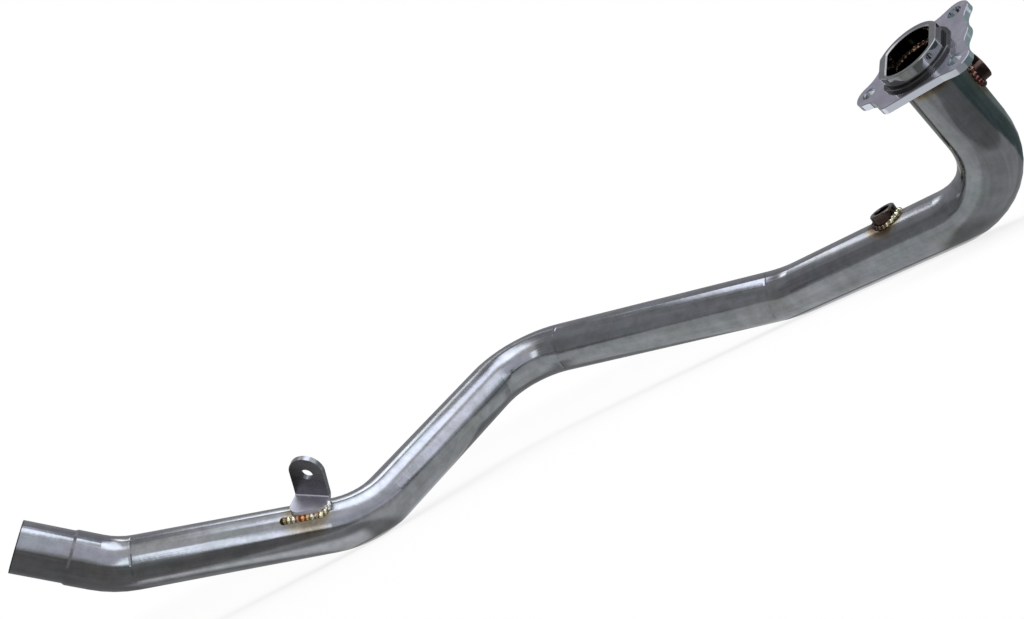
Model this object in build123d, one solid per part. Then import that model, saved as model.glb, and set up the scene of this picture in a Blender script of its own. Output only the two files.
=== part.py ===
from build123d import *
import os
from collections import namedtuple
from math import acos, asin, atan2, ceil, cos, degrees, pi, radians, sin, sqrt

os.makedirs("parts", exist_ok=True)

# Driving dimensions in millimetres and degrees

# Tube stock and its bend program, from the tail end to the flange
tube_od = 38.0
tube_wall = 1.5
bend_radius = 57.0
straights = [53.0, 137.0, 134.0, 173.0, 127.0, 57.0]
bend_angles = [27.5, 47.0, 72.0, 26.5, 84.5]
bend_rolls = [-79.5, 156.5, -48.0, -28.5]

# Tail spigot, pressed smaller so that a silencer sleeve slips over it
spigot_od = 36.2
spigot_length = 34.5
spigot_taper = 2.0
cut_edge_round = 0.4

# Port flange, a plate with three ears
flange_thickness = 5.0
flange_lean = 5.0
flange_turn = -171.0
stud_circle = 70.5
stud_spread = 46.0
stud_hole = 9.0
ear_radius = 9.2
shoulder_radius = 6.2
shoulder_back = 21.6
shoulder_out = 20.7
shoulder_scallop = 16.0
crease_forward = 14.5
crease_out = 31.6
front_bulge = 33.5
front_bulge_radius = 16.0
front_scallop = 20.0
flange_edge_round = 0.4
tube_inset = 2.5
tube_slip = 0.15

# Port collar, a ring with two flats
collar_height = 9.5
collar_offset = 0.75
collar_radius = 21.75
collar_half_flat = 19.6
collar_corner = 4.0
mouth_radius = 18.25
mouth_half_flat = 14.5
mouth_corner = 3.0
mouth_chamfer = 0.9
collar_edge_round = 0.5
foot_height = 2.0
foot_reach = 2.5
foot_round = 0.8

# Sensor bosses, threaded M12 x 1.25
boss_od = 18.0
boss_thread_bore = 10.8
boss_rise = 6.2
boss_chamfer = 0.6
boss_port_clearance = 0.6
upper_boss_back = 26.5
upper_boss_azimuth = 216.0
lower_boss_back = 39.1
lower_boss_azimuth = 341.0

# Hanger bracket, a folded strip with a round ear
bracket_back = 13.8
bracket_azimuth = 84.3
bracket_twist = 20.5
bracket_width = 25.0
bracket_thickness = 4.0
bracket_fold_radius = 1.2
bracket_lean = 4.5
fold_offset = 9.2
pad_reach = 6.9
pad_left_round = 7.0
pad_right_round = 9.0
pad_gap = 0.02
ear_height = 34.0
ear_hole_height = 20.0
ear_hole = 9.0

# Weld beads, each a row of overlapping puddles
hanger_puddle = 3.1
hanger_pitch = 3.2
hanger_sink = 0.9
hanger_inset = 0.3
hanger_start = 18.0
hanger_corner = 10.8
hanger_finish = 13.2
hanger_corner_round = 6.0
hanger_climb = 1.5
boss_puddle = 2.1
boss_pitch = 3.0
boss_puddle_offset = 0.5
inner_puddle = 1.8
inner_pitch = 3.0

tube_radius = tube_od / 2

# Centreline

Stretch = namedtuple("Stretch", "start tangent normal length angle")


def follow_bends():
    """Walk the bend program and return the straights and the bends."""
    point = Vector(0, 0, 0)
    tangent = Vector(1, 0, 0)
    normal = Vector(0, 1, 0)
    runs = []
    bends = []
    for i, length in enumerate(straights):
        runs.append(Stretch(point, tangent, normal, length, 0.0))
        point = point + tangent * length
        if i == len(bend_angles):
            break
        angle = radians(bend_angles[i])
        bends.append(Stretch(point, tangent, normal, bend_radius * angle, angle))
        point = point + (tangent * sin(angle) + normal * (1 - cos(angle))) * bend_radius
        turned = tangent * cos(angle) + normal * sin(angle)
        normal = normal * cos(angle) - tangent * sin(angle)
        tangent = turned
        if i < len(bend_rolls):
            roll = radians(bend_rolls[i])
            normal = normal * cos(roll) + tangent.cross(normal) * sin(roll)
    return runs, bends


def point_on_bend(bend, angle):
    """Centreline point reached after the given angle of a bend."""
    return bend.start + (bend.tangent * sin(angle) + bend.normal * (1 - cos(angle))) * bend_radius


def place_on_tube(run, back, azimuth):
    """Plane at a distance back from the end of a straight, its z axis at the given azimuth."""
    origin = run.start + run.tangent * (run.length - back)
    turn = radians(azimuth)
    outward = run.normal * cos(turn) + run.tangent.cross(run.normal) * sin(turn)
    return Plane(origin=origin, x_dir=run.tangent, z_dir=outward)


runs, bends = follow_bends()
first_run = runs[0]
last_run = runs[-1]
tube_end = last_run.start + last_run.tangent * last_run.length

# Places of the fittings on the tube

upper_seat = place_on_tube(last_run, upper_boss_back, upper_boss_azimuth)
lower_seat = place_on_tube(runs[4], lower_boss_back, lower_boss_azimuth)
bracket_seat = place_on_tube(runs[1], bracket_back, bracket_azimuth)


def flange_place():
    """Plane on the flange's back face, z axis out of the port side and x axis away from the lone ear."""
    lean = radians(flange_lean)
    turn = radians(flange_turn)
    facing = last_run.tangent * cos(lean) + last_run.normal * sin(lean)
    level = last_run.normal * cos(lean) - last_run.tangent * sin(lean)
    x_dir = level * cos(turn) + facing.cross(level) * sin(turn)
    origin = tube_end + last_run.tangent * (tube_inset - flange_thickness / cos(lean))
    return Plane(origin=origin, x_dir=x_dir, z_dir=facing)


flange_seat = flange_place()
collar_seat = flange_seat.offset(flange_thickness)
tube_end_seat = Plane(origin=tube_end, x_dir=last_run.normal, z_dir=last_run.tangent)

# Main tube


def centreline_path():
    """Path of the round tube, from behind the spigot to the tube's end at the flange."""
    spigot_end = spigot_length + spigot_taper
    edges = []
    for i, run in enumerate(runs):
        skipped = spigot_end if i == 0 else 0.0
        end = run.start + run.tangent * run.length
        edges.append(Edge.make_line(run.start + run.tangent * skipped, end))
        if i < len(bends):
            bend = bends[i]
            middle = point_on_bend(bend, bend.angle / 2)
            edges.append(Edge.make_three_point_arc(bend.start, middle, point_on_bend(bend, bend.angle)))
    return Wire(edges)


def swept_tube(radius):
    """Solid rod of one radius along the bent part of the centreline."""
    path = centreline_path()
    section_place = Plane(origin=path @ 0, x_dir=first_run.normal, z_dir=first_run.tangent)
    return sweep(section_place * Circle(radius), path=path)


def spigot(radius_step):
    """Solid of revolution for the narrowed tail end, its outside moved inwards by radius_step."""
    end_radius = spigot_od / 2 - radius_step
    full_radius = tube_radius - radius_step
    spigot_end = spigot_length + spigot_taper
    outline = Polyline(
        (0, 0),
        (0, end_radius),
        (spigot_length, end_radius),
        (spigot_end, full_radius),
        (spigot_end, 0),
        close=True,
    )
    return revolve(make_face(outline), axis=Axis.X)


def boss_port(seat):
    """Drill core that opens the tube wall under a sensor boss."""
    radius = boss_thread_bore / 2 + boss_port_clearance
    return seat * extrude(Circle(radius), amount=tube_radius + boss_rise)


tube_outside = swept_tube(tube_radius) + spigot(0)


def make_main_tube():
    bore = swept_tube(tube_radius - tube_wall) + spigot(tube_wall)
    tube = tube_outside - bore
    tail_edges = tube.edges().filter_by(GeomType.CIRCLE).sort_by(Axis.X)[:2]
    tube = fillet(tail_edges, cut_edge_round)
    return tube - boss_port(upper_seat) - boss_port(lower_seat)


# Port flange


def polar(centre, radius, direction):
    """Point at the given radius from a centre, towards a direction vector."""
    return centre + direction.normalized() * radius


def touch_from(point, centre, radius, side):
    """Place where a line from a point touches a circle, on the given side."""
    away = point - centre
    return polar(centre, radius, away.rotate(Axis.Z, side * degrees(acos(radius / away.length))))


def touching_centre(first, first_radius, second, second_radius, hollow, side):
    """Centre of a hollow arc that touches two circles from outside, on the given side."""
    along = second - first
    span = along.length
    reach = first_radius + hollow
    step = (span**2 + reach**2 - (second_radius + hollow) ** 2) / (2 * span)
    rise = sqrt(reach**2 - step**2)
    ahead = along.normalized()
    across = Vector(-ahead.Y, ahead.X) * side
    return first + ahead * step + across * rise


def bearing(direction):
    """Angle in degrees from the x axis to a direction."""
    return degrees(atan2(direction.Y, direction.X))


def arc_between(centre, radius, start, end):
    """Arc about a centre from start to end, turning to the left."""
    begin = bearing(start - centre)
    turn = (bearing(end - centre) - begin) % 360
    return Edge.make_circle(radius, Plane(origin=centre), begin, begin + turn)


def stud_places():
    """Centres of the three stud holes on the flange: the lone ear first, then the pair."""
    pitch_radius = stud_circle / 2
    spread = radians(stud_spread)
    lone = Vector(-pitch_radius, 0)
    left = Vector(pitch_radius * cos(spread), pitch_radius * sin(spread))
    right = Vector(left.X, -left.Y)
    return lone, left, right


def flange_outline():
    """Half of the outline below the x axis, from the lone ear to the front bulge, then its mirror image."""
    lone, _, paired = stud_places()
    shoulder = Vector(-shoulder_back, -shoulder_out)
    bulge = Vector(front_bulge - front_bulge_radius, 0)

    waist = touching_centre(lone, ear_radius, shoulder, shoulder_radius, shoulder_scallop, -1)
    waist_start = polar(lone, ear_radius, waist - lone)
    waist_end = polar(shoulder, shoulder_radius, waist - shoulder)

    crease = Vector(crease_forward, -crease_out)
    edge_start = touch_from(crease, shoulder, shoulder_radius, -1)
    edge_end = touch_from(crease, paired, ear_radius, 1)

    front = touching_centre(paired, ear_radius, bulge, front_bulge_radius, front_scallop, -1)
    front_start = polar(paired, ear_radius, front - paired)
    front_end = polar(bulge, front_bulge_radius, front - bulge)

    half = [
        arc_between(lone, ear_radius, lone - Vector(ear_radius, 0), waist_start),
        arc_between(waist, shoulder_scallop, waist_end, waist_start),
        arc_between(shoulder, shoulder_radius, waist_end, edge_start),
        Edge.make_line(edge_start, crease),
        Edge.make_line(crease, edge_end),
        arc_between(paired, ear_radius, edge_end, front_start),
        arc_between(front, front_scallop, front_end, front_start),
        arc_between(bulge, front_bulge_radius, front_end, bulge + Vector(front_bulge_radius, 0)),
    ]
    mirrored = [edge.mirror(Plane.XZ) for edge in half]
    return make_face(Wire(half + mirrored))


def make_port_flange():
    plate = extrude(flange_outline(), amount=flange_thickness)
    for centre in stud_places():
        plate -= Pos(centre) * extrude(Circle(stud_hole / 2), amount=flange_thickness)
    rims = plate.faces().filter_by(GeomType.PLANE).filter_by(Axis.Z)
    outer_edges = [edge for rim in rims for edge in rim.outer_wire().edges()]
    plate = chamfer(outer_edges, flange_edge_round)
    tube_bore = Cylinder(tube_radius + tube_slip, 8 * flange_thickness)
    return flange_seat * plate - tube_end_seat * tube_bore


# Port collar


def two_flat(radius, half_flat, corner):
    """Circle cut by two flats that face along the x axis, with rounded corners."""
    outline = Circle(radius) & Rectangle(2 * half_flat, 2 * radius)
    return fillet(outline.vertices(), corner)


def make_port_collar():
    ring = extrude(two_flat(collar_radius, collar_half_flat, collar_corner), amount=collar_height)
    ring -= extrude(two_flat(mouth_radius, mouth_half_flat, mouth_corner), amount=collar_height)
    rim = ring.faces().sort_by(Axis.Z)[-1]
    ring = chamfer(rim.inner_wires()[0].edges(), mouth_chamfer)
    rim = ring.faces().filter_by(GeomType.PLANE).sort_by(Axis.Z)[-1]
    ring = fillet(rim.outer_wire().edges(), collar_edge_round)
    foot_outline = two_flat(
        collar_radius + foot_reach,
        collar_half_flat + foot_reach,
        collar_corner + foot_reach,
    )
    foot = extrude(foot_outline, amount=foot_height)
    foot = fillet(foot.faces().sort_by(Axis.Z)[-1].edges(), foot_round)
    foot -= extrude(two_flat(mouth_radius, mouth_half_flat, mouth_corner), amount=foot_height)
    return collar_seat * Pos(-collar_offset, 0) * (ring + foot)


# Sensor bosses


def make_boss(seat):
    """Round boss coped to sit on the tube, with a threaded bore through it."""
    top = tube_radius + boss_rise
    foot = sqrt(tube_radius**2 - (boss_od / 2) ** 2) / 2
    blank = Pos(0, 0, foot) * extrude(Circle(boss_od / 2), amount=top - foot)
    blank -= Pos(0, 0, foot) * extrude(Circle(boss_thread_bore / 2), amount=top - foot)
    rim = blank.faces().sort_by(Axis.Z)[-1]
    blank = chamfer(rim.edges(), boss_chamfer)
    saddle = Rot(0, 90, 0) * Cylinder(tube_radius, 4 * boss_od)
    return seat * (blank - saddle)


# Hanger bracket


def make_hanger_bracket():
    """Strip folded up from a flat pad that lies on the tube, with a round ear and a bolt hole."""
    underside = tube_radius + pad_gap
    topside = underside + bracket_thickness
    lean = radians(bracket_lean)
    up = Vector(0, -sin(lean), cos(lean))
    outward = Vector(0, cos(lean), sin(lean))
    inner_corner = Vector(0, fold_offset, topside)
    outer_line = inner_corner + outward * bracket_thickness
    outer_corner = outer_line - up * ((outer_line.Z - underside) / up.Z)
    pad_end = Vector(0, -2 * bracket_width, underside)
    profile = Polyline(
        pad_end,
        outer_corner,
        outer_line + up * ear_height,
        inner_corner + up * ear_height,
        inner_corner,
        pad_end + Vector(0, 0, bracket_thickness),
        close=True,
    )
    section = make_face(profile)
    section = Plane.YZ.to_local_coords(section)
    inside = section.vertices().sort_by_distance(Plane.YZ.to_local_coords(inner_corner))[0]
    section = fillet(inside, bracket_fold_radius)
    outside = section.vertices().sort_by_distance(Plane.YZ.to_local_coords(outer_corner))[0]
    section = fillet(outside, bracket_fold_radius + bracket_thickness)
    strip = Plane.YZ * extrude(section, amount=bracket_width / 2, both=True)

    ear_place = Plane(origin=inner_corner, x_dir=(-1, 0, 0), z_dir=outward)
    ear_round = bracket_width / 2
    neck = ear_height - ear_round
    ear_shape = Pos(0, neck) * Circle(ear_round)
    ear_shape += Pos(0, (neck - ear_height) / 2) * Rectangle(bracket_width, neck + ear_height)
    strip &= ear_place * extrude(ear_shape, amount=4 * bracket_width, both=True)
    hole = Pos(0, ear_hole_height) * Circle(ear_hole / 2)
    strip -= ear_place * extrude(hole, amount=2 * bracket_thickness, both=True)

    twisted = Rot(0, 0, -bracket_twist)
    pad_shape = twisted * Rectangle(bracket_width, 6 * bracket_width)
    pad_shape &= Pos(0, 2 * bracket_width - pad_reach) * Rectangle(6 * bracket_width, 4 * bracket_width)
    weld_corners = pad_shape.vertices().group_by(Axis.Y)[0].sort_by(Axis.X)
    pad_shape = fillet(weld_corners[0], pad_left_round)
    right_corner = pad_shape.vertices().group_by(Axis.Y)[0].sort_by(Axis.X)[-1]
    pad_shape = fillet(right_corner, pad_right_round)
    body = twisted * strip & extrude(pad_shape, amount=6 * bracket_width)
    return bracket_seat * body


# Weld beads


def bead(centres, radius):
    """Overlapping round puddles joined into one bead."""
    puddles = [Pos(centre) * Sphere(radius) for centre in centres]
    return puddles[0].fuse(*puddles[1:])


def make_boss_weld(seat, boss):
    """Bead round the foot of a boss, on the saddle line where it meets the tube."""
    radius = boss_od / 2 + boss_puddle_offset
    count = ceil(2 * pi * radius / boss_pitch)
    centres = []
    for i in range(count):
        angle = 2 * pi * i / count
        across = radius * sin(angle)
        local = Vector(radius * cos(angle), across, sqrt(tube_radius**2 - across**2))
        centres.append(seat.from_local_coords(local))
    core = seat * extrude(Circle(boss_od / 2), amount=tube_radius + boss_rise)
    return bead(centres, boss_puddle) - core - tube_outside


def make_hanger_weld(bracket):
    """Bead along the pad's edge and up round its right corner, running past the left corner."""
    edge = hanger_inset - pad_reach
    start = (-hanger_start, edge)
    corner = (hanger_corner, edge)
    finish = (hanger_finish, 0)
    route = FilletPolyline(start, corner, finish, radius=hanger_corner_round)
    count = ceil(route.length / hanger_pitch)
    centres = []
    for i in range(count + 1):
        point = route @ (i / count)
        climb = hanger_climb * (point.Y - edge) / -edge
        height = sqrt((tube_radius - hanger_sink) ** 2 - point.Y**2) + climb
        centres.append(bracket_seat.from_local_coords(Vector(point.X, point.Y, height)))
    return bead(centres, hanger_puddle) - bracket - tube_outside


def make_flange_weld():
    """Bead inside the port, on the end of the tube where it meets the flange's bore."""
    radius = tube_radius - tube_wall / 2
    count = ceil(2 * pi * radius / inner_pitch)
    centres = []
    for i in range(count):
        angle = 2 * pi * i / count
        local = Vector(radius * cos(angle), radius * sin(angle), 0)
        centres.append(tube_end_seat.from_local_coords(local))
    room = tube_end_seat * extrude(Circle(tube_radius + tube_slip), amount=2 * flange_thickness)
    above = collar_seat * extrude(Circle(2 * tube_radius), amount=4 * flange_thickness)
    return bead(centres, inner_puddle) & (room - above)


# Resting place: the tube lies on the outsides of three of its bends


def lowest_on_bend(bend, up):
    """Centreline point of a bend that lies lowest against the given up direction."""
    sideways = up.dot(bend.tangent)
    inwards = up.dot(bend.normal)
    reach = sqrt(sideways**2 + inwards**2)
    angle = asin(max(-1.0, min(1.0, -sideways / reach)))
    if inwards < 0:
        angle = pi - angle
    angle = (angle + pi) % (2 * pi) - pi
    return point_on_bend(bend, max(0.0, min(bend.angle, angle)))


def resting_up():
    """Up direction of the plane that touches the second, fourth and fifth bends from below."""
    touching = [bends[1], bends[3], bends[4]]
    points = [point_on_bend(bend, bend.angle / 2) for bend in touching]
    up = Vector(0, 0, 1)
    for _ in range(60):
        up = (points[1] - points[0]).cross(points[2] - points[0]).normalized()
        if up.dot(flange_seat.z_dir) < 0:
            up = up * -1
        points = [lowest_on_bend(bend, up) for bend in touching]
    return up, points[0]


up, contact = resting_up()
end_to_end = tube_end - first_run.start
floor_along = (end_to_end - up * up.dot(end_to_end)).normalized()
floor = Plane(origin=contact - up * tube_radius, x_dir=floor_along, z_dir=up)


def build():
    """Every piece in the pipe's own frame, by node name."""
    tube = make_main_tube()
    flange = make_port_flange()
    collar = make_port_collar()
    upper_boss = make_boss(upper_seat)
    lower_boss = make_boss(lower_seat)
    bracket = make_hanger_bracket()
    return {
        "main_tube": tube,
        "port_flange": flange,
        "port_collar": collar,
        "upper_sensor_boss": upper_boss,
        "lower_sensor_boss": lower_boss,
        "hanger_bracket": bracket,
        "hanger_weld": make_hanger_weld(bracket),
        "upper_boss_weld": make_boss_weld(upper_seat, upper_boss),
        "lower_boss_weld": make_boss_weld(lower_seat, lower_boss),
        "flange_weld": make_flange_weld(),
    }


def lay_down(pieces):
    """Turn the pieces onto the floor, with the origin under the middle of the whole part."""
    laid = {name: floor.to_local_coords(piece) for name, piece in pieces.items()}
    boxes = [piece.bounding_box() for piece in laid.values()]
    middle_x = (min(box.min.X for box in boxes) + max(box.max.X for box in boxes)) / 2
    middle_y = (min(box.min.Y for box in boxes) + max(box.max.Y for box in boxes)) / 2
    bottom = min(box.min.Z for box in boxes)
    shift = Pos(-middle_x, -middle_y, -bottom)
    return {name: shift * piece for name, piece in laid.items()}, shift


pieces, shift = lay_down(build())
for name, piece in pieces.items():
    export_step(piece, f"parts/{name}.step")
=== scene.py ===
from math import pi, radians

import bpy
from mathutils import Matrix, Vector


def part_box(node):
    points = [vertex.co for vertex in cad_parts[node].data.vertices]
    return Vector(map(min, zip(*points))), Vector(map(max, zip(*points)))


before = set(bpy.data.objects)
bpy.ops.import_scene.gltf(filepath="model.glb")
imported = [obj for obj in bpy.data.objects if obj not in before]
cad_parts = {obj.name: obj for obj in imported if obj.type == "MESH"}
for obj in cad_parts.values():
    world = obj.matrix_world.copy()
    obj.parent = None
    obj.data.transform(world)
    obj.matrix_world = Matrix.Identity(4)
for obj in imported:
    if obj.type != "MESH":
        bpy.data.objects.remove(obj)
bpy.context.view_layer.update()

# Camera. It looks at the lying pipe almost level and close by, as the picture does, and is rolled so
# that the tail hangs to the lower left. The lens gives the picture's own perspective.
image_width = 1024
focal_pixels = 1220.0
camera_place = Vector((0.1709, -0.8430, 0.0590))
camera_aim = Vector((0.0183, -0.0077, 0.0995))
camera_roll = radians(27.34)

camera_data = bpy.data.cameras.new("picture_camera")
camera_data.sensor_width = 36.0
camera_data.lens = focal_pixels * camera_data.sensor_width / image_width
camera_data.clip_start = 0.02
camera_data.clip_end = 40.0
camera = bpy.data.objects.new("picture_camera", camera_data)
bpy.context.scene.collection.objects.link(camera)
looking = (camera_aim - camera_place).to_track_quat("-Z", "Y").to_matrix().to_4x4()
camera.matrix_world = (
    Matrix.Translation(camera_place) @ looking @ Matrix.Rotation(-camera_roll, 4, "Z")
)
bpy.context.scene.camera = camera

# Floor. A plain white sweep. Part of its white is its own, so that the pipe's shadow stays faint, and
# farther out all of it is, so that no horizon shows.
floor_size = 30.0
floor_white = (0.95, 0.95, 0.955, 1)
own_white_near = 0.8
near_edge = 0.55
far_edge = 1.3


def add_node(tree, kind, settings=None, **links):
    """Add a shader node, set its properties, and link or set its inputs by name or number."""
    node = tree.nodes.new(kind)
    for name, value in (settings or {}).items():
        setattr(node, name, value)
    for name, value in links.items():
        if name[0] == "i" and name[1:].isdigit():
            socket = node.inputs[int(name[1:])]
        else:
            socket = node.inputs[name.replace("_", " ")]
        if isinstance(value, bpy.types.NodeSocket):
            tree.links.new(value, socket)
        else:
            socket.default_value = value
    return node


def blank_material(name):
    """A material with an empty node tree and its output node."""
    finish = bpy.data.materials.new(name)
    finish.use_nodes = True
    finish.node_tree.nodes.clear()
    return finish, finish.node_tree, finish.node_tree.nodes.new("ShaderNodeOutputMaterial")


def seen_share(tree):
    """One where the eye or a reflection sees it, and nothing where it only gives light."""
    path = add_node(tree, "ShaderNodeLightPath")
    share = path.outputs["Is Camera Ray"]
    for ray in ("Is Glossy Ray", "Is Transmission Ray"):
        share = add_node(
            tree, "ShaderNodeMath", {"operation": "MAXIMUM"}, i0=share, i1=path.outputs[ray]
        ).outputs["Value"]
    return share


bpy.ops.object.select_all(action="DESELECT")
bpy.ops.mesh.primitive_plane_add(size=floor_size, location=(0, 0, 0))
floor = bpy.context.active_object
floor.name = "studio_floor"
floor_finish, tree, out = blank_material("floor_white")
place = add_node(tree, "ShaderNodeTexCoord").outputs["Object"]
reach = add_node(tree, "ShaderNodeVectorMath", {"operation": "LENGTH"}, i0=place).outputs["Value"]
fade = add_node(
    tree, "ShaderNodeMapRange", {"interpolation_type": "SMOOTHSTEP"},
    i0=reach, i1=near_edge, i2=far_edge, i3=own_white_near, i4=1.0,
).outputs["Result"]
seen = seen_share(tree)
share = add_node(tree, "ShaderNodeMath", {"operation": "MULTIPLY"}, i0=seen, i1=fade).outputs["Value"]
lit = add_node(tree, "ShaderNodeBsdfDiffuse", Color=floor_white).outputs["BSDF"]
own = add_node(tree, "ShaderNodeEmission", Color=(1, 1, 1, 1), Strength=1.0).outputs["Emission"]
mixed = add_node(tree, "ShaderNodeMixShader", i0=share, i1=lit, i2=own).outputs["Shader"]
tree.links.new(mixed, out.inputs["Surface"])
floor.data.materials.append(floor_finish)

# Room. White to the eye and in the metal, and a plain even light on everything else, which keeps the
# pipe at a plain level from every side.
room_light = 0.75

world = bpy.data.worlds.new("studio_room")
world.use_nodes = True
tree = world.node_tree
tree.nodes.clear()
seen = seen_share(tree)
level = add_node(
    tree, "ShaderNodeMapRange", i0=seen, i1=0.0, i2=1.0, i3=room_light, i4=1.0
).outputs["Result"]
air = add_node(tree, "ShaderNodeBackground", Color=(1, 1, 1, 1), Strength=level).outputs["Background"]
room_out = tree.nodes.new("ShaderNodeOutputWorld")
tree.links.new(air, room_out.inputs["Surface"])
bpy.context.scene.world = world

# Soft box. One wide lamp above and to the right, which gives the pipe its soft shadow. The metal doesn't
# show the lamp. It shows the bright cards instead.
box_width = 0.9
box_depth = 0.9
box_power = 7.0
box_place = Vector((0.55, -0.35, 1.25))
box_aim = Vector((0, 0, 0.04))

soft_box_data = bpy.data.lights.new("soft_box", "AREA")
soft_box_data.shape = "RECTANGLE"
soft_box_data.size = box_width
soft_box_data.size_y = box_depth
soft_box_data.energy = box_power
soft_box = bpy.data.objects.new("soft_box", soft_box_data)
bpy.context.scene.collection.objects.link(soft_box)
soft_box.location = box_place
soft_box.rotation_euler = (box_aim - box_place).to_track_quat("-Z", "Y").to_euler()
soft_box.visible_glossy = False

# Cards. Flags that only the metal shows. Bright ones above, in front and at the right give the bands
# along the tube. Grey ones at the left, behind, overhead and on the floor keep the rest of it dark.
# Their edges fade out over a set width, so that the bands end softly.
cards = {
    "card_bright": ((0.40, -0.08, 1.2), (0.80, 0.95), (0, 0, 0), (3.3, 3.45, 3.9)),
    "card_fill": ((1.47, -1.03, 0.95), (3.2, 2.1), (90, 0, 55), (0.98, 1.0, 1.12)),
    "card_strip_front": ((0.15, -2.2, 0.75), (0.75, 1.5), (90, 0, 0), (2.9, 3.0, 3.3)),
    "card_strip_side": ((1.75, 0.0, 1.0), (0.8, 1.6), (90, 0, 90), (2.1, 2.15, 2.4)),
    "card_front": ((-2.1, -1.7, 1.2), (4.3, 2.6), (90, 0, 0), (0.40, 0.41, 0.43)),
    "card_side": ((-2.3, -0.2, 1.2), (3.3, 2.6), (90, 0, 90), (0.30, 0.30, 0.315)),
    "card_back": ((-0.6, 2.4, 1.0), (5.6, 2.0), (90, 0, 0), (0.33, 0.33, 0.345)),
    "card_right": ((1.3, 0.75, 0.3), (1.8, 0.7), (90, 0, 120), (0.20, 0.26, 0.25)),
    "card_high": ((-0.3, 1.5, 1.9), (6.6, 2.5), (-45, 0, 0), (0.44, 0.44, 0.475)),
    "card_top": ((-2.05, -0.3, 2.2), (4.2, 3.8), (0, 0, 0), (0.43, 0.43, 0.45)),
    "card_line": ((-0.28, 0.62, 1.2), (0.28, 0.75), (0, 0, -13), (4.4, 4.5, 4.7)),
    "card_floor": ((0.0, 0.0, 0.0020), (9.0, 9.0), (0, 0, 0), (0.52, 0.525, 0.53)),
    "card_floor_back": ((0.0, 2.05, 0.0024), (9.0, 4.2), (0, 0, 0), (0.34, 0.345, 0.35)),
    "card_floor_behind": ((-0.35, 0.02, 0.0026), (0.56, 0.19), (0, 0, 0), (0.38, 0.38, 0.385)),
    "card_floor_front": ((-0.55, -1.13, 0.0028), (0.92, 2.1), (0, 0, 0), (0.24, 0.232, 0.232)),
    "card_floor_tail": ((-0.72, -0.05, 0.0029), (0.80, 0.40), (0, 0, 0), (0.25, 0.25, 0.25)),
    "card_floor_tail_light": ((-0.225, -0.0615, 0.0030), (0.19, 0.026), (0, 0, 17.3), (1.15, 1.16, 1.18)),
    "card_floor_middle": ((0.085, -0.005, 0.0032), (0.42, 0.19), (0, 0, 0), (0.74, 0.76, 0.77)),
    "card_floor_long": ((0.10, 0.070, 0.0034), (0.25, 0.070), (0, 0, -15.4), (0.80, 0.82, 0.82)),
    "card_floor_right": ((0.50, -0.36, 0.0028), (0.46, 0.52), (0, 0, 0), (0.23, 0.24, 0.24)),
    "card_floor_teal": ((1.10, -0.05, 0.0036), (1.40, 0.8), (0, 0, 0), (0.10, 0.14, 0.138)),
}
high_fade = 0.14
floor_fade = 0.010

for name, (middle, spread, turn, tone) in cards.items():
    card_finish, tree, out = blank_material(name + "_tone")
    place = add_node(tree, "ShaderNodeTexCoord").outputs["Object"]
    spot = add_node(tree, "ShaderNodeSeparateXYZ", i0=place)
    cover = None
    fade = high_fade if middle[2] > 0.1 else floor_fade
    for axis, size in zip("XY", spread):
        off = add_node(
            tree, "ShaderNodeMath", {"operation": "ABSOLUTE"}, i0=spot.outputs[axis]
        ).outputs["Value"]
        edge = add_node(
            tree, "ShaderNodeMapRange", {"interpolation_type": "SMOOTHSTEP"},
            i0=off, i1=0.5 - fade / size, i2=0.5, i3=1.0, i4=0.0,
        ).outputs["Result"]
        if cover is None:
            cover = edge
        else:
            cover = add_node(
                tree, "ShaderNodeMath", {"operation": "MULTIPLY"}, i0=cover, i1=edge
            ).outputs["Value"]
    glow = add_node(tree, "ShaderNodeEmission", Color=(*tone, 1), Strength=1.0).outputs["Emission"]
    clear = add_node(tree, "ShaderNodeBsdfTransparent").outputs["BSDF"]
    mixed = add_node(tree, "ShaderNodeMixShader", i0=cover, i1=clear, i2=glow).outputs["Shader"]
    tree.links.new(mixed, out.inputs["Surface"])
    bpy.ops.mesh.primitive_plane_add(size=1.0, location=middle, rotation=[radians(a) for a in turn])
    card = bpy.context.active_object
    card.name = name
    card.scale = (*spread, 1)
    card.data.materials.append(card_finish)
    card.visible_camera = False
    card.visible_diffuse = False
    card.visible_shadow = False
    card.visible_transmission = False

bpy.context.scene.view_settings.view_transform = "Standard"

# Main tube. One dark stainless tube, drawn along its length. The material unbends it: from the bend
# program it works out how far along the stock each spot lies, so that the draw lines, the clamp marks
# and the ripples from the bender follow the bends.
tail_place = Vector((-0.3422, -0.1004, 0.1100))
tail_direction = Vector((0.6257, 0.4495, -0.6375)).normalized()
first_bend_side = Vector((0.7730, -0.2473, 0.5843)).normalized()
straights = (0.053, 0.137, 0.134, 0.173, 0.127, 0.057)
bend_angles = (27.5, 47.0, 72.0, 26.5, 84.5)
bend_rolls = (-79.5, 156.5, -48.0, -28.5)
bend_radius = 0.057
stock_reach = 0.026
ripple_pitch = 0.0036


def math_node(tree, operation, *values):
    """One Math node, with its inputs linked or set in order."""
    inputs = {f"i{i}": value for i, value in enumerate(values)}
    return add_node(tree, "ShaderNodeMath", {"operation": operation}, **inputs).outputs["Value"]


def vector_node(tree, operation, *values):
    """One Vector Math node; dot products and lengths come back as a value."""
    inputs = {f"i{i}": value for i, value in enumerate(values)}
    if operation == "SCALE":
        inputs = {"i0": values[0], "Scale": values[1]}
    node = add_node(tree, "ShaderNodeVectorMath", {"operation": operation}, **inputs)
    return node.outputs["Value" if operation in ("DOT_PRODUCT", "LENGTH") else "Vector"]


def triple(tree, x, y, z):
    """Three values as one vector."""
    return add_node(tree, "ShaderNodeCombineXYZ", i0=x, i1=y, i2=z).outputs["Vector"]


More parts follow.
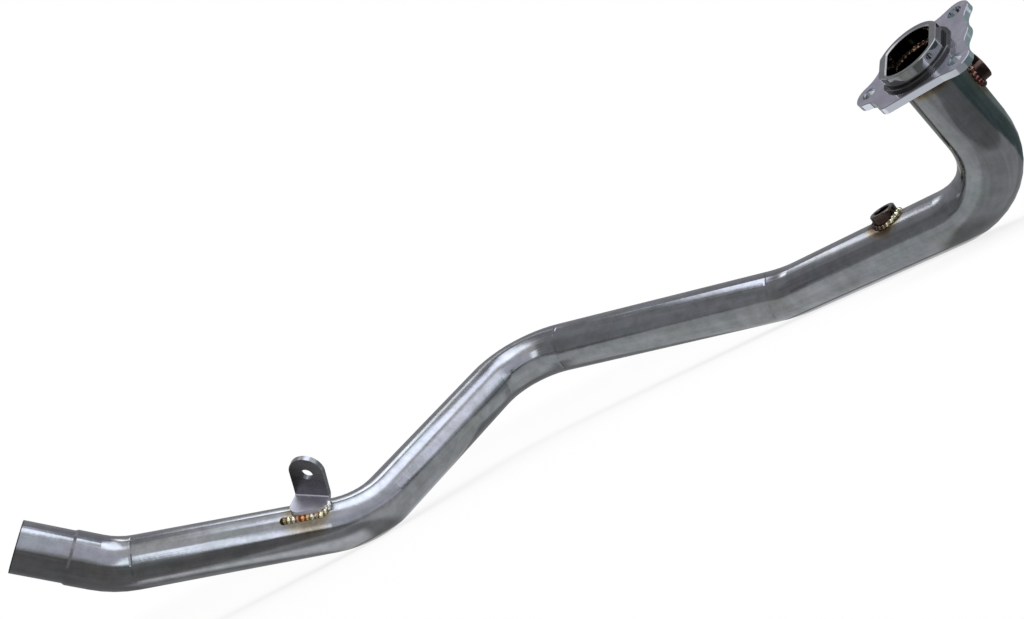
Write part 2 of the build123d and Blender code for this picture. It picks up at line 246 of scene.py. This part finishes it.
def fade_node(tree, value, start, end, at_start=1.0, at_end=0.0):
    """Smooth fade from one value to another."""
    return add_node(
        tree, "ShaderNodeMapRange", {"interpolation_type": "SMOOTHSTEP"},
        i0=value, i1=start, i2=end, i3=at_start, i4=at_end,
    ).outputs["Result"]


def noise_node(tree, place, stretch, detail=3.0, roughness=0.55):
    """Noise on a place that is stretched by three scales."""
    stretched = vector_node(tree, "MULTIPLY", place, stretch)
    noise = add_node(
        tree, "ShaderNodeTexNoise", Vector=stretched, Scale=1.0, Detail=detail, Roughness=roughness
    )
    return noise.outputs["Fac"]


def ramp_node(tree, value, *stops):
    """Colours at places along a value."""
    ramp = add_node(tree, "ShaderNodeValToRGB", i0=value)
    bar = ramp.color_ramp.elements
    while len(bar) < len(stops):
        bar.new(0.5)
    for mark, (position, color) in zip(bar, stops):
        mark.position = position
        mark.color = (*color, 1)
    return ramp.outputs["Color"]


def blend_node(tree, share, first, second, kind="MIX"):
    """Mix of two colours."""
    settings = {"data_type": "RGBA", "blend_type": kind}
    return add_node(tree, "ShaderNodeMix", settings, i0=share, i6=first, i7=second).outputs[2]


def stock_steps():
    """Each straight and bend of the tube with the frame that is carried along it without twist."""
    point, tangent, side = tail_place, tail_direction, first_bend_side
    across, over = side, tangent.cross(side)
    travelled = 0.0
    steps = []
    for i, length in enumerate(straights):
        steps.append(("straight", point, tangent, side, across, over, travelled, length))
        point = point + tangent * length
        travelled += length
        if i == len(bend_angles):
            break
        angle = radians(bend_angles[i])
        axis = tangent.cross(side)
        steps.append(("bend", point, tangent, side, across, over, travelled, angle))
        turn = Matrix.Rotation(angle, 3, axis)
        centre = point + side * bend_radius
        point = centre + turn @ (point - centre)
        travelled += bend_radius * angle
        tangent, side, across, over = turn @ tangent, turn @ side, turn @ across, turn @ over
        if i < len(bend_rolls):
            side = Matrix.Rotation(radians(bend_rolls[i]), 3, tangent) @ side
    return steps, travelled


def stock_place(tree, place):
    """Where a spot lies on the straight stock: distance along it, and two distances across it."""
    steps, _ = stock_steps()
    total = None
    for kind, point, tangent, side, across, over, travelled, size in steps:
        if kind == "straight":
            there = vector_node(tree, "SUBTRACT", place, point)
            along = vector_node(tree, "DOT_PRODUCT", there, tangent)
            first = vector_node(tree, "DOT_PRODUCT", there, across)
            second = vector_node(tree, "DOT_PRODUCT", there, over)
            length = size
            walked = along
        else:
            there = vector_node(tree, "SUBTRACT", place, point + side * bend_radius)
            axis = tangent.cross(side)
            ahead = vector_node(tree, "DOT_PRODUCT", there, tangent)
            outward = vector_node(tree, "DOT_PRODUCT", there, -side)
            angle = math_node(tree, "ARCTAN2", ahead, outward)
            walked = math_node(tree, "MULTIPLY", angle, bend_radius)
            length = bend_radius * size
            radius = vector_node(tree, "LENGTH", triple(tree, ahead, outward, 0.0))
            bulge = math_node(tree, "SUBTRACT", radius, bend_radius)
            height = vector_node(tree, "DOT_PRODUCT", there, axis)
            spot = triple(tree, bulge, height, 0.0)
            first = vector_node(tree, "DOT_PRODUCT", spot, (-side.dot(across), axis.dot(across), 0.0))
            second = vector_node(tree, "DOT_PRODUCT", spot, (-side.dot(over), axis.dot(over), 0.0))
        beside = vector_node(tree, "LENGTH", triple(tree, first, second, 0.0))
        inside = math_node(tree, "COMPARE", walked, length / 2, length / 2)
        inside = math_node(tree, "MULTIPLY", inside, math_node(tree, "LESS_THAN", beside, stock_reach))
        spot = triple(tree, math_node(tree, "ADD", walked, travelled), first, second)
        spot = vector_node(tree, "SCALE", spot, inside)
        total = spot if total is None else vector_node(tree, "ADD", total, spot)
    return total


def middle_of(node_name):
    """Middle of a CAD node's box."""
    low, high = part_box(node_name)
    return (Vector(low) + Vector(high)) / 2


def heat_round(tree, place, node_name, near, far):
    """Share of heat colour round a weld, from one at the near distance to nothing at the far one."""
    distance = vector_node(tree, "LENGTH", vector_node(tree, "SUBTRACT", place, middle_of(node_name)))
    return fade_node(tree, distance, near, far)


def steel_surface(tree, out, color, gloss, height):
    """Bare metal from its colour, its gloss and its height."""
    bump = add_node(tree, "ShaderNodeBump", Strength=1.0, Distance=1.0, Height=height).outputs["Normal"]
    steel = add_node(
        tree, "ShaderNodeBsdfPrincipled", Base_Color=color, Metallic=1.0, Roughness=gloss, Normal=bump
    ).outputs["BSDF"]
    tree.links.new(steel, out.inputs["Surface"])


def make_tube_steel():
    finish, tree, out = blank_material("tube_steel")
    place = add_node(tree, "ShaderNodeTexCoord").outputs["Object"]
    stock = stock_place(tree, place)
    along = add_node(tree, "ShaderNodeSeparateXYZ", i0=stock).outputs["X"]
    steps, total_length = stock_steps()

    lines = noise_node(tree, stock, (14.0, 900.0, 900.0), 4.0, 0.6)
    bands = noise_node(tree, stock, (9.0, 130.0, 130.0), 3.0, 0.5)
    clouds = noise_node(tree, stock, (22.0, 40.0, 40.0), 4.0, 0.6)
    specks = noise_node(tree, place, (900.0, 900.0, 900.0), 2.0, 0.5)

    color = ramp_node(
        tree, clouds,
        (0.30, (0.245, 0.252, 0.238)), (0.50, (0.282, 0.284, 0.300)), (0.70, (0.275, 0.302, 0.298)),
    )
    worn = ramp_node(tree, bands, (0.35, (0.72, 0.72, 0.74)), (0.62, (1.12, 1.12, 1.14)))
    color = blend_node(tree, 0.4, color, worn, "MULTIPLY")
    streaks = ramp_node(tree, lines, (0.38, (0.78, 0.78, 0.80)), (0.60, (1.08, 1.08, 1.10)))
    color = blend_node(tree, 0.22, color, streaks, "MULTIPLY")
    patina = noise_node(tree, place, (95.0, 95.0, 95.0), 5.0, 0.65)
    shade = ramp_node(tree, patina, (0.36, (0.86, 0.87, 0.86)), (0.62, (1.09, 1.09, 1.10)))
    color = blend_node(tree, 1.0, color, shade, "MULTIPLY")
    pits = fade_node(tree, specks, 0.70, 0.76, 0.0, 0.6)
    color = blend_node(tree, pits, color, (0.09, 0.09, 0.09, 1))

    # Marks that the bender's clamp left across the tube, at the end or start of three bends.
    marks = [steps[2][6], steps[6][6], steps[7][6]]
    ring = 0.0
    for mark in marks:
        away = math_node(tree, "ABSOLUTE", math_node(tree, "SUBTRACT", along, mark))
        ring = math_node(tree, "MAXIMUM", ring, fade_node(tree, away, 0.0001, 0.0016))
    broken = fade_node(tree, noise_node(tree, stock, (40.0, 160.0, 160.0), 2.0), 0.42, 0.60, 0.0, 0.8)
    ring = math_node(tree, "MULTIPLY", ring, broken)
    color = blend_node(tree, math_node(tree, "MULTIPLY", ring, 0.45), color, (0.09, 0.09, 0.095, 1))

    # A dark line at the very tail end, and heat colours beside the welds and under the flange.
    tail_rim = fade_node(tree, along, 0.0004, 0.0011)
    color = blend_node(tree, tail_rim, color, (0.03, 0.03, 0.03, 1))

    heat = math_node(
        tree, "MAXIMUM",
        heat_round(tree, place, "lower_boss_weld", 0.011, 0.019),
        heat_round(tree, place, "upper_boss_weld", 0.011, 0.019),
    )
    hanger_heat = math_node(tree, "MULTIPLY", heat_round(tree, place, "hanger_weld", 0.010, 0.021), 0.55)
    heat = math_node(tree, "MAXIMUM", heat, hanger_heat)
    collar_heat = fade_node(tree, along, total_length - 0.015, total_length - 0.0065, 0.0, 1.0)
    heat = math_node(tree, "MAXIMUM", heat, collar_heat)
    patchy = noise_node(tree, place, (160.0, 160.0, 160.0), 3.0)
    heat = math_node(tree, "MULTIPLY", heat, fade_node(tree, patchy, 0.3, 0.6, 0.55, 1.0))
    tint = ramp_node(
        tree, heat, (0.0, (1.0, 1.0, 1.0)), (0.3, (0.90, 0.82, 0.66)), (0.55, (0.66, 0.54, 0.36)),
        (0.8, (0.42, 0.30, 0.20)), (1.0, (0.24, 0.16, 0.13)),
    )
    color = blend_node(tree, 1.0, color, tint, "MULTIPLY")

    gloss = fade_node(tree, lines, 0.35, 0.65, 0.10, 0.19)
    gloss = math_node(tree, "ADD", gloss, fade_node(tree, bands, 0.4, 0.65, 0.0, 0.08))

    # Fine draw lines, ripples where the mandrel worked, and the clamp marks as height.
    wave = math_node(tree, "SINE", math_node(tree, "MULTIPLY", along, 2 * pi / ripple_pitch))
    rippled = fade_node(tree, noise_node(tree, stock, (25.0, 55.0, 55.0), 2.0), 0.50, 0.66, 0.0, 1.0)
    start_zone = fade_node(tree, along, 0.100, 0.130, 1.0, 0.25)
    wave = math_node(tree, "MULTIPLY", wave, math_node(tree, "MULTIPLY", rippled, start_zone))
    height = math_node(tree, "MULTIPLY", lines, 0.000012)
    height = math_node(tree, "ADD", height, math_node(tree, "MULTIPLY", bands, 0.00005))
    height = math_node(tree, "ADD", height, math_node(tree, "MULTIPLY", wave, 0.0000022))
    height = math_node(tree, "ADD", height, math_node(tree, "MULTIPLY", patina, 0.00007))
    height = math_node(tree, "SUBTRACT", height, math_node(tree, "MULTIPLY", ring, 0.00012))
    steel_surface(tree, out, color, gloss, height)
    return finish


def dress(node_name, finish):
    """Give a CAD node its finish."""
    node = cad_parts[node_name]
    node.data.materials.clear()
    node.data.materials.append(finish)


dress("main_tube", make_tube_steel())

# Port flange. A plate cut by laser, with a satin, slightly lilac face and a painted highlight on its cut
# edges. The tube's end sits in it and is welded from inside the port.


def seat_place(tree, origin, x_dir, z_dir):
    """A spot's place in the frame of a seat."""
    place = add_node(tree, "ShaderNodeTexCoord").outputs["Object"]
    there = vector_node(tree, "SUBTRACT", place, origin)
    y_dir = z_dir.cross(x_dir)
    return triple(
        tree,
        vector_node(tree, "DOT_PRODUCT", there, x_dir),
        vector_node(tree, "DOT_PRODUCT", there, y_dir),
        vector_node(tree, "DOT_PRODUCT", there, z_dir),
    )


flange_origin = Vector((0.3164, -0.0992, 0.1086))
flange_x = Vector((0.8547, -0.5135, 0.0757)).normalized()
flange_z = Vector((-0.3265, -0.4185, 0.8475)).normalized()
cut_edge_rise = 0.0025
cut_edge_half = 0.0021


def make_flange_steel():
    finish, tree, out = blank_material("flange_steel")
    place = seat_place(tree, flange_origin, flange_x, flange_z)
    mottle = noise_node(tree, place, (110.0, 110.0, 110.0), 3.0, 0.55)
    grain = noise_node(tree, place, (1500.0, 180.0, 900.0), 3.0, 0.6)
    color = ramp_node(
        tree, mottle, (0.30, (0.44, 0.435, 0.49)), (0.52, (0.50, 0.49, 0.56)), (0.72, (0.55, 0.55, 0.62))
    )
    shade = ramp_node(tree, grain, (0.35, (0.8, 0.8, 0.82)), (0.6, (1.05, 1.05, 1.06)))
    color = blend_node(tree, 0.3, color, shade, "MULTIPLY")
    rise = add_node(tree, "ShaderNodeSeparateXYZ", i0=place).outputs["Z"]
    # The side faces of the plate are painted pale blue-white: a painted highlight on the cut edges.
    cut_edge_highlight = math_node(tree, "COMPARE", rise, cut_edge_rise, cut_edge_half)
    color = blend_node(tree, cut_edge_highlight, color, (0.80, 0.84, 0.92, 1))
    gloss = fade_node(tree, mottle, 0.35, 0.65, 0.09, 0.17)
    height = math_node(tree, "MULTIPLY", mottle, 0.00003)
    height = math_node(tree, "ADD", math_node(tree, "MULTIPLY", grain, 0.000004), height)
    steel_surface(tree, out, color, gloss, height)
    return finish


dress("port_flange", make_flange_steel())

# Port collar. A ring turned and polished, with two flats, darker than the flange and with fine rings
# from the lathe. Its foot is painted near-black, painted shade where it meets the flange, and the chamfer
# round its mouth is painted pale, a painted highlight.
collar_offset = 0.00075
collar_origin = flange_origin - collar_offset * flange_x
lathe_rings = 2600.0
foot_top = 0.00725
lip_rise = 0.01409
lip_half = 0.00036
lip_radius = 0.0193
lip_half_width = 0.0156


def make_collar_steel():
    finish, tree, out = blank_material("collar_steel")
    place = seat_place(tree, collar_origin, flange_x, flange_z)
    parts = add_node(tree, "ShaderNodeSeparateXYZ", i0=place)
    radius = vector_node(tree, "LENGTH", triple(tree, parts.outputs["X"], parts.outputs["Y"], 0.0))
    rise = parts.outputs["Z"]
    across = math_node(tree, "MULTIPLY", radius, lathe_rings)
    up = math_node(tree, "MULTIPLY", rise, lathe_rings)
    turned = triple(tree, across, up, 0.0)
    rings = add_node(tree, "ShaderNodeTexNoise", Vector=turned, Scale=1.0, Detail=2.0).outputs["Fac"]
    mottle = noise_node(tree, place, (180.0, 180.0, 180.0), 3.0)
    color = ramp_node(tree, mottle, (0.32, (0.25, 0.26, 0.25)), (0.66, (0.33, 0.335, 0.335)))
    shade = ramp_node(tree, rings, (0.35, (0.75, 0.75, 0.76)), (0.6, (1.05, 1.05, 1.05)))
    color = blend_node(tree, 0.6, color, shade, "MULTIPLY")
    # The foot is painted near-black: painted shade in the gap where the collar meets the flange.
    foot = math_node(tree, "LESS_THAN", rise, foot_top)
    color = blend_node(tree, foot, color, (0.07, 0.07, 0.07, 1))
    # The chamfer round the mouth is painted pale and made rougher: a painted highlight.
    lip_highlight = math_node(tree, "COMPARE", rise, lip_rise, lip_half)
    lip_highlight = math_node(tree, "MULTIPLY", lip_highlight, math_node(tree, "LESS_THAN", radius, lip_radius))
    inside = math_node(tree, "COMPARE", parts.outputs["X"], 0.0, lip_half_width)
    lip_highlight = math_node(tree, "MULTIPLY", lip_highlight, inside)
    color = blend_node(tree, lip_highlight, color, (0.56, 0.56, 0.58, 1))
    gloss = fade_node(tree, rings, 0.35, 0.65, 0.05, 0.10)
    gloss = math_node(tree, "MAXIMUM", gloss, math_node(tree, "MULTIPLY", lip_highlight, 0.3))
    height = math_node(tree, "MULTIPLY", rings, 0.000005)
    steel_surface(tree, out, color, gloss, height)
    return finish


dress("port_collar", make_collar_steel())

# Sensor bosses. Turned rounds with a hole for the sensor, welded to the tube. The welding has browned
# them from the foot up.


def make_boss_steel(name, foot_name):
    finish, tree, out = blank_material(name)
    place = add_node(tree, "ShaderNodeTexCoord").outputs["Object"]
    distance = vector_node(tree, "LENGTH", vector_node(tree, "SUBTRACT", place, middle_of(foot_name)))
    patchy = noise_node(tree, place, (420.0, 420.0, 420.0), 4.0)
    drift = math_node(tree, "MULTIPLY", math_node(tree, "SUBTRACT", patchy, 0.5), 0.006)
    reach = math_node(tree, "ADD", distance, drift)
    color = ramp_node(
        tree, fade_node(tree, reach, 0.0085, 0.0135, 0.0, 1.0),
        (0.0, (0.035, 0.022, 0.019)), (0.4, (0.058, 0.040, 0.033)),
        (0.75, (0.080, 0.068, 0.056)), (1.0, (0.19, 0.18, 0.165)),
    )
    gloss = fade_node(tree, patchy, 0.35, 0.65, 0.10, 0.22)
    height = math_node(tree, "MULTIPLY", patchy, 0.00004)
    steel_surface(tree, out, color, gloss, height)
    return finish


dress("upper_sensor_boss", make_boss_steel("upper_boss_steel", "upper_boss_weld"))
dress("lower_sensor_boss", make_boss_steel("lower_boss_steel", "lower_boss_weld"))

# Hanger bracket. Cold-rolled sheet, folded once and welded on by its pad, with rolling lines. The ear is
# painted dark at its top and lighter toward the fold as painted shade and sheen, the pad is painted pale
# as a painted sheen, and the cut edges are painted paler as a painted highlight.
bracket_origin = Vector((-0.17524, -0.03131, 0.02678))
run_direction = Vector((0.9119, 0.2845, -0.2957)).normalized()
bracket_z = Vector((0.4041, -0.4972, 0.7678)).normalized()
bracket_x = Matrix.Rotation(radians(-20.5), 3, bracket_z) @ run_direction
pad_top = 0.0230
fold_top = 0.0250
ear_top = 0.038
ear_centre = 0.0447
ear_edge = 0.0122


def make_bracket_steel():
    finish, tree, out = blank_material("bracket_steel")
    place = seat_place(tree, bracket_origin, bracket_x, bracket_z)
    parts = add_node(tree, "ShaderNodeSeparateXYZ", i0=place)
    sideways = math_node(tree, "ABSOLUTE", parts.outputs["X"])
    rise = parts.outputs["Z"]
    rolled = noise_node(tree, place, (160.0, 160.0, 1100.0), 3.0)
    mottle = noise_node(tree, place, (130.0, 130.0, 130.0), 3.0)
    # The ear is painted lighter toward the fold and darker up to its top: painted sheen and shade.
    color = ramp_node(
        tree, fade_node(tree, rise, fold_top, ear_top, 0.0, 1.0),
        (0.0, (0.20, 0.195, 0.20)), (1.0, (0.12, 0.12, 0.125)),
    )
    shade = ramp_node(tree, mottle, (0.32, (0.85, 0.85, 0.85)), (0.66, (1.05, 1.05, 1.06)))
    color = blend_node(tree, 1.0, color, shade, "MULTIPLY")
    shade = ramp_node(tree, rolled, (0.35, (0.8, 0.8, 0.8)), (0.6, (1.06, 1.06, 1.08)))
    color = blend_node(tree, 0.4, color, shade, "MULTIPLY")
    above = math_node(tree, "MAXIMUM", math_node(tree, "SUBTRACT", rise, ear_centre), 0.0)
    reach = vector_node(tree, "LENGTH", triple(tree, sideways, above, 0.0))
    # Beyond the ear's edge the sheet is painted paler: a painted highlight on the cut edges.
    edge = math_node(tree, "GREATER_THAN", reach, ear_edge)
    color = blend_node(tree, edge, color, (0.30, 0.31, 0.32, 1))
    # The pad is painted pale lilac-grey and made rougher: a painted sheen.
    pad = fade_node(tree, rise, pad_top + 0.0003, pad_top + 0.0012)
    color = blend_node(tree, pad, color, (0.58, 0.57, 0.63, 1))
    gloss = fade_node(tree, rolled, 0.35, 0.65, 0.25, 0.33)
    gloss = math_node(tree, "ADD", gloss, math_node(tree, "MULTIPLY", pad, 0.22))
    height = math_node(tree, "MULTIPLY", rolled, 0.000004)
    steel_surface(tree, out, color, gloss, height)
    return finish


dress("hanger_bracket", make_bracket_steel())

# Weld beads. They were laid by hand along the seams. Each puddle froze in fine crescents and took its
# own heat colour, from cream and gold to orange, purple-brown and dark brown.


def make_bead_steel(name, start, direction, length, pitch, stops):
    """Bead finish: colours along the seam from its start, and on each puddle a painted highlight on its
    crest with painted shade between.
    """
    finish, tree, out = blank_material(name)
    place = add_node(tree, "ShaderNodeTexCoord").outputs["Object"]
    drift = noise_node(tree, place, (450.0, 450.0, 450.0), 2.0)
    drift = math_node(tree, "MULTIPLY", math_node(tree, "SUBTRACT", drift, 0.5), 0.0034)
    along = vector_node(tree, "DOT_PRODUCT", vector_node(tree, "SUBTRACT", place, start), direction)
    wavy = math_node(tree, "ADD", along, drift)
    share = math_node(tree, "DIVIDE", wavy, length)
    color = ramp_node(tree, share, *stops)
    turns = math_node(tree, "MULTIPLY", math_node(tree, "SUBTRACT", wavy, pitch * 0.12), 2 * pi / pitch)
    crown = math_node(tree, "COSINE", turns)
    rings = math_node(tree, "COSINE", math_node(tree, "MULTIPLY", turns, 4.0))
    # Each ripple is painted light on its crest and dark between: painted highlight and shade, on top of
    # its raised crown.
    bright = fade_node(tree, crown, -0.8, 0.5, 0.30, 1.0)
    bright = math_node(tree, "ADD", bright, math_node(tree, "MULTIPLY", rings, 0.10))
    bright = triple(tree, bright, bright, bright)
    color = blend_node(tree, 1.0, color, bright, "MULTIPLY")
    patches = noise_node(tree, place, (700.0, 700.0, 700.0), 2.0, 0.6)
    gloss = fade_node(tree, patches, 0.35, 0.65, 0.16, 0.30)
    height = math_node(tree, "MULTIPLY", crown, 0.00010)
    height = math_node(tree, "ADD", math_node(tree, "MULTIPLY", rings, 0.00003), height)
    steel_surface(tree, out, color, gloss, height)
    return finish


hanger_stops = (
    (0.0, (0.16, 0.11, 0.05)), (0.08, (0.80, 0.70, 0.40)), (0.20, (0.98, 0.95, 0.70)),
    (0.28, (0.95, 0.68, 0.45)), (0.34, (0.35, 0.09, 0.04)), (0.42, (0.90, 0.42, 0.18)),
    (0.50, (0.62, 0.24, 0.08)), (0.57, (0.95, 0.80, 0.45)), (0.68, (0.92, 0.88, 0.78)),
    (0.74, (0.45, 0.28, 0.12)), (0.82, (1.0, 0.92, 0.66)), (0.91, (0.60, 0.52, 0.25)),
    (1.0, (0.88, 0.88, 0.84)),
)
lower_stops = (
    (0.0, (0.08, 0.05, 0.04)), (0.45, (0.13, 0.085, 0.065)), (0.62, (0.30, 0.22, 0.13)),
    (0.76, (0.80, 0.75, 0.48)), (0.88, (0.95, 0.93, 0.68)), (1.0, (0.60, 0.60, 0.40)),
)
upper_stops = (
    (0.0, (0.14, 0.05, 0.045)), (0.5, (0.22, 0.08, 0.07)), (0.8, (0.35, 0.20, 0.15)),
    (1.0, (0.60, 0.50, 0.42)),
)
inner_stops = (
    (0.0, (0.10, 0.07, 0.05)), (0.34, (0.14, 0.09, 0.06)), (0.42, (0.70, 0.45, 0.28)),
    (0.50, (0.16, 0.10, 0.07)), (0.64, (0.20, 0.13, 0.09)), (0.72, (0.75, 0.52, 0.36)),
    (0.79, (0.20, 0.13, 0.09)), (1.0, (0.12, 0.08, 0.06)),
)
hanger_lead = 0.018
hanger_length = 0.031
hanger_pitch = 0.0032
boss_length = 0.022
inner_length = 0.038
ring_pitch = 0.0030
lower_run = Vector((0.778, -0.628, 0.0)).normalized()
upper_run = Vector((-0.2572, -0.4713, 0.8436)).normalized()
hanger_start = bracket_origin - hanger_lead * run_direction
lower_start = middle_of("lower_boss_weld") - boss_length / 2 * lower_run
upper_start = middle_of("upper_boss_weld") - boss_length / 2 * upper_run
inner_start = middle_of("flange_weld") - inner_length / 2 * flange_x

beads = (
    ("hanger_weld", "hanger_bead", hanger_start, run_direction, hanger_length, hanger_pitch, hanger_stops),
    ("lower_boss_weld", "lower_boss_bead", lower_start, lower_run, boss_length, ring_pitch, lower_stops),
    ("upper_boss_weld", "upper_boss_bead", upper_start, upper_run, boss_length, ring_pitch, upper_stops),
    ("flange_weld", "inner_bead", inner_start, flange_x, inner_length, ring_pitch, inner_stops),
)
for node_name, *finish_values in beads:
    dress(node_name, make_bead_steel(*finish_values))
